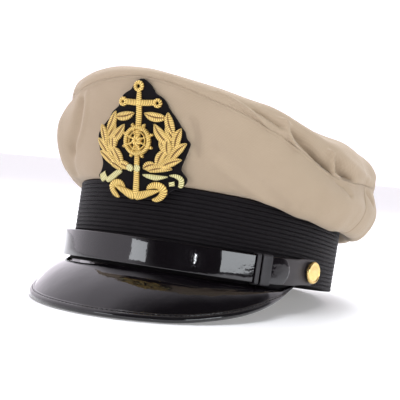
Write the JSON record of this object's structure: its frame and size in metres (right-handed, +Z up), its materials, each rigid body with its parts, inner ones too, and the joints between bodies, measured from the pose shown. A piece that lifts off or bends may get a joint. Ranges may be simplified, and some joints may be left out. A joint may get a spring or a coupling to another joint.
{
  "type": "sailor cap",
  "caption": "Peaked sailor cap with a slumped cloth crown, ribbed band, glossy peak and front strap, gold side buttons and a raised gold anchor badge.",
  "frame": {"origin": "middle of the cap's box on the surface it rests on", "axes": "+Z up, -Y to the front where the peak is, +X to the wearer's left"},
  "size_m": [0.2108, 0.2756, 0.1423],
  "materials": {
    "khaki_cloth": "plain cotton twill, matte",
    "ribbed_braid": "corded black braid, matte with a faint sheen",
    "patent": "black patent leather, mirror gloss",
    "patent_binding": "black patent leather edge, rolled and stitched",
    "patent_strap": "black patent leather, mirror gloss",
    "keeper_leather": "black leather, satin",
    "button_gold": "polished gold plate",
    "black_felt": "black felt, matte",
    "gold_bullion": "laid gold wire embroidery",
    "pale_bullion": "laid pale gold wire embroidery"
  },
  "bodies": {
    "root": {"crown_side_front": "khaki_cloth", "crown_side_back": "khaki_cloth", "crown_top": "khaki_cloth", "band": "ribbed_braid", "visor": "patent", "visor_binding": "patent_binding", "strap_front": "patent_strap", "strap_under": "patent_strap", "keeper_narrow": "keeper_leather", "keeper_wide": "keeper_leather", "button_left": "button_gold", "button_right": "button_gold", "badge_patch": "black_felt", "badge_anchor": "gold_bullion", "badge_wreath_left": "gold_bullion", "badge_wreath_right": "gold_bullion", "badge_ribbon_left": "pale_bullion", "badge_ribbon_right": "pale_bullion"}
  },
  "joints": []
}
